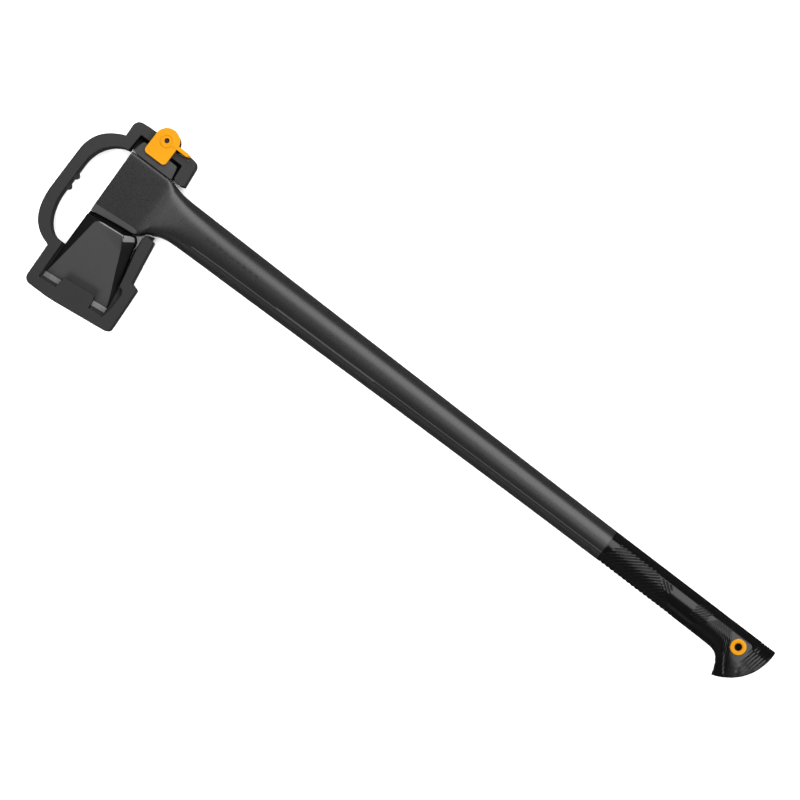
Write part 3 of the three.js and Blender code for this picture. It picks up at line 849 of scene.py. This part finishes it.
def make_handle(*materials):
    places = np.concatenate(
        [
            np.linspace(HANDLE_START, 52, 14),
            np.linspace(53, 130, 78),
            np.linspace(134, GRIP_START - 0.3, 90),
        ]
    )
    outer_rows = smooth_rows(HANDLE_SECTIONS, places)
    outer = loft([handle_ring(row) for row in outer_rows])
    for side in (1, -1):
        outer = bisected(outer, Vector((0, CHAMFER_Y, side * CHAMFER_Z)), chamfer_normal(side))
    tube = loft([handle_ring(row) for row in TUBE_SECTIONS])
    tube.transform(Matrix.Translation((-TUBE_OVERLAP, 0, 0)))
    open_end = (TUBE_END + 1, *TUBE_SECTIONS[-1][1:])
    deep = [handle_ring(row, SHAFT_WALL) for row in HANDLE_SECTIONS[9:-1]]
    shallow = [handle_ring(row, TUBE_WALL) for row in (*TUBE_SECTIONS, open_end)]
    mesh = joined(outer, tube, *shaft_marks())
    mesh = cut(mesh, tang(CLEAR), loft(deep + shallow), eyelet_hole(EYELET_BARREL + CLEAR))
    flattened(mesh, angle=0.05)
    looks = {"bevel": 0.5, "smooth": 14}
    made = piece("handle_shell", mesh, MAUL, "handle", "composite", *materials, **looks)
    for face in made.data.polygons:
        # Faces of the lower chamfer get a lighter copy of the composite, painted light.
        side = math.copysign(1, face.normal.z)
        face.material_index = int(face.normal.dot(chamfer_normal(side)) > SAME_DIRECTION)
    return made


def eyelet_hole(radius, low=-THROUGH, high=THROUGH):
    return disc(EYELET, radius, low, high)


def make_plug(material):
    rings = []
    for x in (PLUG_START, TUBE_END - CLEAR):
        rings.append(handle_ring((x, *TUBE_SECTIONS[-1][1:]), TUBE_WALL + CLEAR, points=48))
    mesh = cut(loft(rings), eyelet_hole(EYELET_BARREL + CLEAR))
    return piece("butt_stopper", mesh, MAUL, "butt_plug", "plug_plastic", material, bevel=0.4)


def ramp(value, start, end):
    """Rises smoothly from 0 at the start to 1 at the end."""
    t = np.clip((value - start) / (end - start), 0, 1)
    return t * t * (3 - 2 * t)


def grooves(phase):
    """A V from 0 to 1 and back, between flat lands, once per unit of phase."""
    return np.clip(1 - np.abs(np.mod(phase, 1) - 0.5) / GROOVE_HALF_WIDTH, 0, 1)


def grooved(patch, along, depth, pitch):
    return depth * patch * grooves(along / pitch)


def grip_depth(x, y):
    """How far the grip's surface is pressed in at a point, in millimetres."""
    right = 757 + (9 - y) * 1.35
    left = 690 + 0.55 * np.clip(y + 12, 0, 30)
    body = ramp(x, left, left + 2.5) * (1 - ramp(x, right - 2, right)) * (1 - ramp(y, 9, 10.5))
    depth = grooved(body, x - 1.3 * y - 700.2, *PALM_GROOVES)
    chevrons = ramp(x, right + 0.5, right + 2) * (1 - ramp(x, 777, 779))
    chevrons = chevrons * ramp(y, -1, 0.5) * (1 - ramp(y, 7.5, 9))
    depth += grooved(chevrons, x + 1.1 * y - 769, *CHEVRON_GROOVES)
    slants = ramp(x, 810, 812) * (1 - ramp(x, 827 + 0.4 * y, 830 + 0.4 * y)) * ramp(y, -7, -3)
    slants = slants * (1 - ramp(y, 9, 10.5))
    depth += grooved(slants, x - 0.8 * y - 813, *SLANT_GROOVES)
    fine_left = 829 + 0.9 * np.clip(y, -20, 12)
    fine = ramp(x, fine_left, fine_left + 4) * (1 - ramp(x + 0.45 * y, 861, 866))
    depth += grooved(fine, x + 0.5 * y + 0.006 * (y + 4) ** 2, *FINE_GROOVES)
    butt_left = 887 + 0.008 * (y + 8) ** 2
    butt = ramp(x, butt_left, butt_left + 2) * (1 - ramp(np.hypot(x - 857, y - 2), 53.5, 55.5))
    depth += grooved(butt, x - 0.22 * y - 890, *BUTT_GROOVES)
    faint = ramp(x, 879, 882) * (1 - ramp(x, butt_left - 1, butt_left)) * (1 - ramp(y, -20, -17))
    depth += grooved(faint, x + 0.5 * y, *FAINT_GROOVES)
    near_eyelet = ramp(np.hypot(x - EYELET.x, y - EYELET.y), 11.2, 13)
    across = (x - 866) * 0.82 + (y + 18) * 0.57
    ridge = np.exp(-((across / 1.3) ** 2)) * ramp(-y, 16, 20) * (1 - ramp(-y, 36, 40))
    hook = ramp(-across, 0, 3) * ramp(-y, 18, 24)
    return depth * near_eyelet - 0.6 * ridge + 0.9 * hook


def grip_facets(x, y):
    """How much flatter the faces above and below the grip's crowned middle strip lie."""
    below = 0.12 * np.clip(-y, 0, None) * (1 - ramp(x, 855, 872))
    return below + 0.22 * np.clip(y - 9 + 5 * ramp(x, 886, 892), 0, None)


def grip_skin():
    """The grip's outer surface, with its grooves pressed in along the surface normals."""
    around = 224
    places = np.concatenate(
        [
            np.linspace(690, 783, 190),
            np.linspace(784, 808, 18),
            np.linspace(809, 912.8, 270),
            [913.4, 913.8],
        ]
    )
    rows = smooth_rows(GRIP_SECTIONS, places)
    grid = np.zeros((len(rows), around, 3))
    for i, (top_x, bottom_x, bottom_y, bulge, half_depth, squareness) in enumerate(rows):
        share = (top_x - GRIP_START) / (914 - GRIP_START)
        top = np.array([top_x, 19.1 - 0.7 * share])
        bottom = np.array([bottom_x, bottom_y])
        chord = top - bottom
        outwards = np.array([chord[1], -chord[0]]) / np.hypot(*chord)
        across, deep = section(squareness, around)
        t = (across + 1) / 2
        flat = bottom + t[:, None] * chord + (4 * bulge * t * (1 - t))[:, None] * outwards
        thinner = 1 - 0.1 * ramp(top_x, 860, 890) * ramp(flat[:, 1], -24, 16)
        grid[i, :, :2] = flat
        grid[i, :, 2] = half_depth * deep * thinner
    along = np.gradient(grid, axis=0)
    padded = np.concatenate([grid[:, -1:], grid, grid[:, :1]], axis=1)
    round_it = padded[:, 2:] - padded[:, :-2]
    normals = np.cross(along, round_it)
    length = np.linalg.norm(normals, axis=2, keepdims=True)
    normals = normals / np.maximum(length, 1e-9)
    outward = np.sign(np.sum(normals[5, :, 1:] * grid[5, :, 1:]))
    depth = grip_depth(grid[..., 0], grid[..., 1])
    rank = np.arange(len(rows))
    fade = ramp(rank, 0, 2) * (1 - ramp(rank, len(rows) - 4, len(rows) - 2))
    facets = grip_facets(grid[..., 0], grid[..., 1]) * np.clip(np.abs(grid[..., 2]) / 9, 0, 1)
    facets = facets * np.sign(grid[..., 2])
    grid = grid - outward * normals * (depth * fade[:, None])[..., None]
    grid[..., 2] -= facets * fade[:, None]
    return loft(list(grid), strips=True)


def make_grip(material):
    before = (GRIP_START - 2, *TUBE_SECTIONS[0][1:])
    after = (TUBE_END + CLEAR, *TUBE_SECTIONS[-1][1:])
    rows = (before, TUBE_SECTIONS[1], after)
    core = loft([handle_ring(row, -CLEAR, points=64) for row in rows])
    seat = EYELET_FACE - EYELET_THICK - CLEAR
    mesh = cut(
        grip_skin(),
        core,
        eyelet_hole(EYELET_BARREL + CLEAR),
        eyelet_hole(EYELET_FLANGE + EYELET_GROOVE, low=seat),
        eyelet_hole(EYELET_FLANGE + CLEAR, high=-seat),
    )
    return piece("grip_sleeve", mesh, MAUL, "grip", "soft_grip", material, smooth=50)


def make_eyelet(material, bore_painted_shade):
    """The lined hang hole: a flanged barrel from the front, and a ring behind."""
    hole, barrel, flange = EYELET_HOLE, EYELET_BARREL, EYELET_FLANGE
    face, thick = EYELET_FACE, EYELET_THICK
    front = [
        (hole, -face),
        (barrel, -face),
        (barrel, face - thick),
        (flange, face - thick),
        (flange, face - 0.9),
        (flange - 0.35, face - 0.3),
        (flange - 1.1, face),
        (flange - 2.6, face - 0.05),
        (flange - 3.0, face - 0.35),
        (flange - 3.4, face - 0.05),
        (hole + 1.6, face),
        (hole + 0.6, face - 0.25),
        (hole, face - 1.0),
    ]
    behind = [
        (barrel + CLEAR, -face),
        (flange - 1.1, -face),
        (flange - 0.3, -face + 0.35),
        (flange, -face + 1.0),
        (flange, -face + thick),
        (barrel + CLEAR, -face + thick),
    ]
    slot = "orange_plastic"
    ferrule = lathe(front, EYELET)
    ferrule = piece("hang_ferrule", ferrule, MAUL, "eyelet_ferrule", slot, material, bore_painted_shade)
    back = TO_ROW.inverted()
    # Faces inside the hang hole get a near-black reddish material, painted shade.
    for polygon in ferrule.data.polygons:
        middle = back @ polygon.center
        polygon.material_index = int((middle - EYELET).to_2d().length < hole + 0.2)
    ring = piece("hang_ring", lathe(behind, EYELET), MAUL, "eyelet_back_ring", slot, material)
    return [ferrule, ring]


# ---------------------------------------------------------------- blade sheath

DEEP = 18.0
SHEATH_WALL = 2.8
CORING_FRONT = 14
RIB_HALF = 1
RIB_PLACES = range(-220, 281, 27)
TONGUE_FRONT, TONGUE_BACK = 0.8, -0.8
EDGE_LEDGE_FRONT = 4
HEEL_LIP_FRONT = -14.6
POLL_LEDGE_FRONT = -7
BLADE_CLEAR = 0.6
LOOP_INNER_X = -34.8
LUG_RADIUS = 13.4
LUG_DEPTH = 22
PIN_HOLE = 2.95
BUMP_HEIGHT = 4.2
BUMP_HALF = 5.8
BUMP_HALF_DEPTH = 9


def sheath_corners(steps=2):
    """The frame's outline, anticlockwise from the free end of its heel arm."""
    inner = LOOP_INNER_X
    return [
        (70.6, -35.2, 3),
        (68.5, -41, 0),
        (71.8, -60, 0),
        (77.5, -85, 0),
        (80.2, -99.2, 0.6),
        (85, -100.3, 1.5),
        (87.9, -105.5, 3),
        (87.6, -124, 0),
        (85.4, -137.8, 1),
        (1.4, -144.6, 1),
        (0, -98.4, 0.5),
        *bezier((-8, -98.4), (-22, -97.5), (inner, -78), (inner, -50), 8 * steps),
        *bezier((inner, -12), (inner, 9.5), (-19.5, 26.5), (-3.6, 28.7), 8 * steps),
        (-2.6, 50.6, 1.5),
        (54.6, 50.6, 1.5),
        (56, 32, 4.5),
        (66, 31.2, 2),
        (70.5, 33.4, 1),
        (67.6, 63.9, 8.2),
        (56.2, 64.1, 0.5),
        (56.2, 59.3, 0.5),
        (40, 59.3, 0),
        (40, 64.1, 0),
        (-0.5, 63.5, 20),
        (-17.2, 61.8, 9),
        (-15.7, 40, 0),
        *bezier((-17.5, 39.4), (-36.5, 31), (-48.4, 18.5), (-48.4, -5), 10 * steps),
        *bezier((-48.4, -50), (-49, -86), (-36.5, -103.5), (-14.5, -109.2), 10 * steps),
        (-11.8, -110.3, 0),
        (-10.1, -157.7, 8.5),
        (25, -157.4, 120),
        (101.3, -148.2, 5.5),
        (98.1, -91, 2),
        (89.3, -88.2, 2),
        (81.1, -37.1, 1.5),
    ]


def coring():
    """The hollow in the frame's back, crossed by leaning ribs."""
    hollow = slab(rounded(inset(sheath_corners(1), SHEATH_WALL)), -DEEP - 1, CORING_FRONT)
    ribs = []
    for x in RIB_PLACES:
        rib = block(-RIB_HALF, RIB_HALF, -170, 170, -2 * DEEP, 2 * DEEP)
        rib.transform(Matrix.Translation((x, -50, 0)) @ Matrix.Rotation(-math.pi / 4, 4, "Z"))
        ribs.append(rib)
    return cut(hollow, *ribs, disc(PIVOT, 17, -THROUGH, THROUGH))


def finger_bumps():
    """Two rounded bumps on the inside of the carrying loop."""
    made = []
    for middle in (-29.7, -44.3):
        points = [(LOOP_INNER_X - 1, middle - BUMP_HALF)]
        for k in range(21):
            along = k / 10 - 1
            rise = BUMP_HEIGHT * max(0.0, math.cos(along * math.pi / 2)) ** 1.5
            points.append((LOOP_INNER_X + rise, middle + BUMP_HALF * along))
        points.append((LOOP_INNER_X - 1, middle + BUMP_HALF))
        made.append(slab(points, -BUMP_HALF_DEPTH, BUMP_HALF_DEPTH))
    return made


def heel_lip():
    """The lip behind the head's heel that closes the gap beside it."""
    return [
        (77, -36, 0),
        (77, -31.9, 0),
        (74.2, -32.6, 0),
        (70.2, -34.3, 0),
        (67.7, -36.2, 0),
        (66.6, -38.6, 0),
        (65.4, -42, 0),
        (66.6, -47.5, 0),
        (66.6, -58, 0),
        (68.7, -68, 0),
        (76.7, -99.5, 0),
        (81, -99.5, 0),
        (72.5, -60, 0),
        (70, -41, 0),
    ]


def edge_tongues():
    """The tongues on both sides of the cutting edge, and the ledges beside the heel."""
    front = [(23.6, -145, 0), (67.2, -141, 0), (65.2, -123.9, 3), (24.8, -128.4, 3.5)]
    toe = [(0.4, -146, 0), (22.6, -146, 0), (22.6, -130.5, 3), (-0.4, -132.5, 0)]
    heel = [
        (68.8, -141, 0),
        (86, -140, 0),
        (88.8, -124, 0),
        (88.8, -104, 0),
        (80.5, -98.2, 0),
        (75.5, -112, 6),
        (68.8, -124.5, 3),
    ]
    ledge = [
        (86, -138.5, 0),
        (88.8, -124, 0),
        (88.8, -104, 0),
        (81.5, -98.4, 0),
        (79.5, -99, 0),
        (84, -128, 0),
    ]
    return [
        rounded_slab(front, TONGUE_FRONT, DEEP),
        slab(rounded(toe), -DEEP, TONGUE_BACK),
        slab(rounded(heel), -DEEP, TONGUE_BACK),
        slab(rounded(ledge), -DEEP, EDGE_LEDGE_FRONT),
        slab(rounded(heel_lip()), -DEEP, HEEL_LIP_FRONT),
    ]


def poll_ledge():
    """The ledge behind the poll that closes the gap round its sides."""
    around = slab(rounded(inset(poll_corners(), -0.4)), -THROUGH, THROUGH)
    return cut(block(-4.5, 56, 32.5, 51.5, -DEEP, POLL_LEDGE_FRONT), around)


def latch_lug():
    """The round lug that the latch turns on, cut away where the poll sits."""
    lug = disc(PIVOT, LUG_RADIUS, -LUG_DEPTH, LUG_DEPTH, sides=96)
    return cut(lug, block(0, 50, 40, 50.6, -THROUGH, THROUGH))


def make_sheath(material):
    mesh = rounded_slab(sheath_corners(), -DEEP, DEEP)
    mesh = cut(mesh, coring())
    mesh = joined(mesh, *edge_tongues(), poll_ledge(), *finger_bumps(), latch_lug())
    mesh = cut(mesh, disc(PIVOT, PIN_HOLE, -THROUGH, THROUGH), wedge(BLADE_CLEAR))
    flattened(mesh)
    slot = "sheath_plastic"
    return piece("blade_guard", mesh, MAUL, "sheath_frame", slot, material, weighted=True)


# ---------------------------------------------------------------- latch

CHEEK_INNER = 22.5
CHEEK_OUTER = 26.5
BOSS_FACE = 27.7
BOSS_RADIUS = 8.0
RIB_FACE = BOSS_FACE - 0.35
BEYOND_CHEEKS = 40
FRONT_CHEEK = (14.5, 24.6)
BACK_CHEEK = (12.6, 22)
LEVER_START = 15.5
LEVER_END = 29.0
LEVER_UNDER = -1.5
LEVER_OVER = 2.8
PIN_RADIUS = 2.9
PIN_HALF_LENGTH = 23.8


def cheek(half, reach, corner=4.5):
    """A cheek's outline, round above the pin and reaching down over the poll."""
    x, y = PIVOT.x, PIVOT.y
    crown = half - 0.01
    corners = [
        (x - half, y - reach, corner),
        (x + half, y - reach, corner),
        (x + half, y, 0),
        (x + half, y + half, crown),
        (x - half, y + half, crown),
        (x - half, y, 0),
    ]
    return rounded(corners)


def latch_rib():
    """The rib on a cheek's face that runs from the boss round the pin out along the lever."""
    x, y = PIVOT.x, PIVOT.y
    corners = [
        (x + 2, y + 7.6, 0),
        (x + 2, y - 4, 0),
        (x + 7.6, y + LEVER_UNDER, 2),
        (x + LEVER_END, y + LEVER_UNDER, 1.2),
        (x + LEVER_END, y + LEVER_OVER, 1.2),
        (x + 14.5, y + LEVER_OVER, 4),
        (x + 9, y + 5.6, 3),
    ]
    return rounded(corners)


def boss_ring(side):
    """The boss round the pin: a raised rim outside a shallow dish."""
    base, rim, dish = CHEEK_INNER + 1, BOSS_FACE, BOSS_FACE - 0.75
    profile = [
        (1.0, base),
        (BOSS_RADIUS, base),
        (BOSS_RADIUS, rim - 0.5),
        (BOSS_RADIUS - 0.5, rim),
        (BOSS_RADIUS - 1.7, rim),
        (BOSS_RADIUS - 2.4, dish),
        (PIN_HOLE + 1.1, dish),
        (1.0, dish),
    ]
    return lathe([(radius, side * height) for radius, height in profile], PIVOT)


def make_latch(material):
    """The latch: two cheeks joined by the lever's bar."""
    x, y = PIVOT.x, PIVOT.y
    lever = [
        (x + LEVER_START, y + LEVER_UNDER, 0.8),
        (x + LEVER_END, y + LEVER_UNDER, 1.2),
        (x + LEVER_END, y + LEVER_OVER, 1.2),
        (x + LEVER_START, y + LEVER_OVER, 0.8),
    ]
    mesh = slab(rounded(lever), -CHEEK_OUTER, CHEEK_OUTER)
    for side, sizes in ((1, FRONT_CHEEK), (-1, BACK_CHEEK)):
        for shape, far in ((cheek(*sizes), CHEEK_OUTER), (latch_rib(), RIB_FACE)):
            low, high = sorted((side * CHEEK_INNER, side * far))
            mesh = joined(mesh, slab(shape, low, high))
        low, high = sorted((side * (CHEEK_INNER + 2), side * BEYOND_CHEEKS))
        mesh = joined(cut(mesh, disc(PIVOT, BOSS_RADIUS - 0.2, low, high)), boss_ring(side))
    mesh = cut(mesh, disc(PIVOT, PIN_HOLE, -BEYOND_CHEEKS, BEYOND_CHEEKS))
    flattened(mesh)
    return piece("poll_catch", mesh, LATCH, "latch", "orange_plastic", material, bevel=0.55)


def make_pin(material):
    mesh = disc(PIVOT, PIN_RADIUS, -PIN_HALF_LENGTH, PIN_HALF_LENGTH, sides=48)
    return piece("catch_pin", mesh, MAUL, "latch_pin", "pin_steel", material, bevel=0.5)


# ---------------------------------------------------------------- the scene


def main():
    make_camera()
    floor = make_floor()
    composite = moulded("composite", 0.017, 0.021, rough=0.3, grain=900, depth=0.00002)
    # A lighter copy of the composite paints light onto the handle's lower chamfer.
    chamfer_painted_light = moulded("composite_chamfer_painted_light", 0.09, 0.1, rough=0.4, grain=900, depth=0.00002)
    soft_grip = moulded("soft_grip", 0.003, 0.0045, rough=0.2, grain=1400, level=0.3)
    sheath = moulded("sheath_plastic", 0.011, 0.014, rough=0.55, grain=1100, depth=0.00008)
    plug = moulded("plug_plastic", 0.05, 0.06, rough=0.6, grain=900)
    # A near-black reddish material paints the shade inside the amber hang hole.
    bore_painted_shade = moulded("bore_painted_shade", 0.004, 0.006, rough=0.6, grain=900, tint=(1, 0.3, 0.1), level=0.1)
    amber = amber_plastic()
    # The head's coats: real coating, ground steel, then a dark coat as painted shade, a near-black
    # one as painted shade in the recess, and a bright one as painted highlight.
    finishes_and_painted_light = [
        coated_steel("coated_steel", 0.045, 0.06, metal=0.3, rough=0.42),
        ground_steel(),
        coated_steel("flank_painted_shade", 0.009, 0.012, metal=0.0, rough=0.6, level=0.2),
        coated_steel("recess_painted_shade", 0.003, 0.005, metal=0.0, rough=0.6, level=0.1),
        coated_steel("shoulder_painted_highlight", 0.3, 0.4, metal=0.4, rough=0.42),
    ]
    head = make_head(*finishes_and_painted_light)
    pieces = [
        head,
        make_handle(composite, chamfer_painted_light),
        make_plug(plug),
        make_grip(soft_grip),
        *make_eyelet(amber, bore_painted_shade),
        make_sheath(sheath),
        make_latch(amber),
        make_pin(plain_steel()),
    ]
    make_lights(floor, pieces, head)
    bpy.context.scene.view_settings.view_transform = "Standard"


main()
